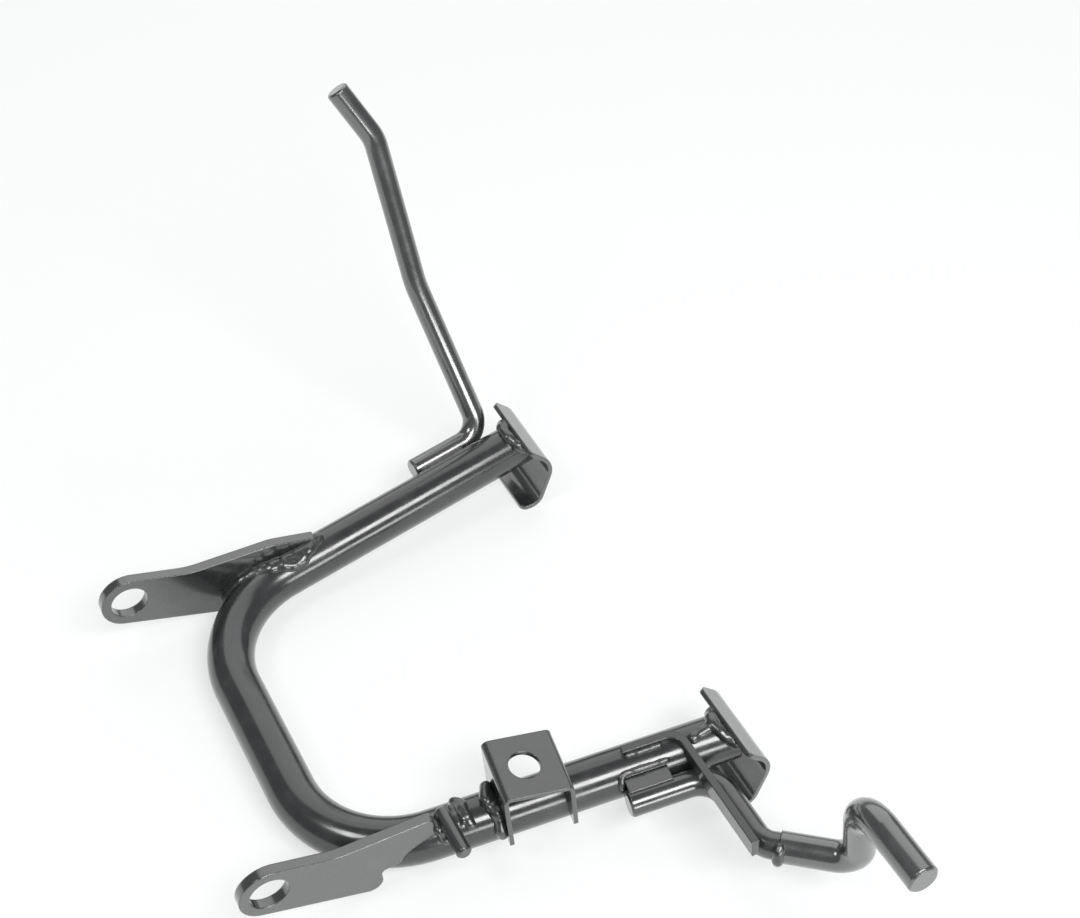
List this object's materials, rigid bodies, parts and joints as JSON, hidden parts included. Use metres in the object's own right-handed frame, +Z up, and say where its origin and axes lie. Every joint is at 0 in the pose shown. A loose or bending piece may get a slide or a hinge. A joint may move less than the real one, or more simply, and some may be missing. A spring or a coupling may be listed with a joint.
{
  "type": "motorcycle centre stand",
  "caption": "Welded U-shaped tube centre stand with pivot lugs, bent foot plates, an upright foot lever rod and a cranked foot peg.",
  "frame": {"origin": "on the pivot axis, midway between the two eyes", "axes": "+X level from the pivots towards the feet, +Y along the pivot axis towards the foot lever, +Z up as the stand lies on its crossbar and soles"},
  "size_m": [0.2805, 0.5083, 0.22],
  "materials": {
    "black_paint": "glossy black enamel",
    "painted_weld": "glossy black enamel over a rough bead"
  },
  "bodies": {
    "root": {"main_tube": "black_paint", "far_pivot_lug": "black_paint", "near_pivot_lug": "black_paint", "far_foot_plate": "black_paint", "near_foot_plate": "black_paint", "foot_lever_rod": "black_paint", "arm_bar": "black_paint", "arm_strap": "black_paint", "arm_gusset": "black_paint", "peg_rod": "black_paint", "saddle_bracket": "black_paint", "spring_pin": "black_paint", "far_lug_weld": "painted_weld", "near_lug_weld": "painted_weld", "far_foot_weld": "painted_weld", "near_foot_weld": "painted_weld", "lever_upper_weld": "painted_weld", "lever_lower_weld": "painted_weld", "arm_lower_weld": "painted_weld", "gusset_weld": "painted_weld", "strap_weld": "painted_weld", "peg_weld": "painted_weld", "saddle_rear_weld": "painted_weld", "saddle_front_weld": "painted_weld", "pin_front_weld": "painted_weld", "pin_rear_weld": "painted_weld"}
  },
  "joints": []
}
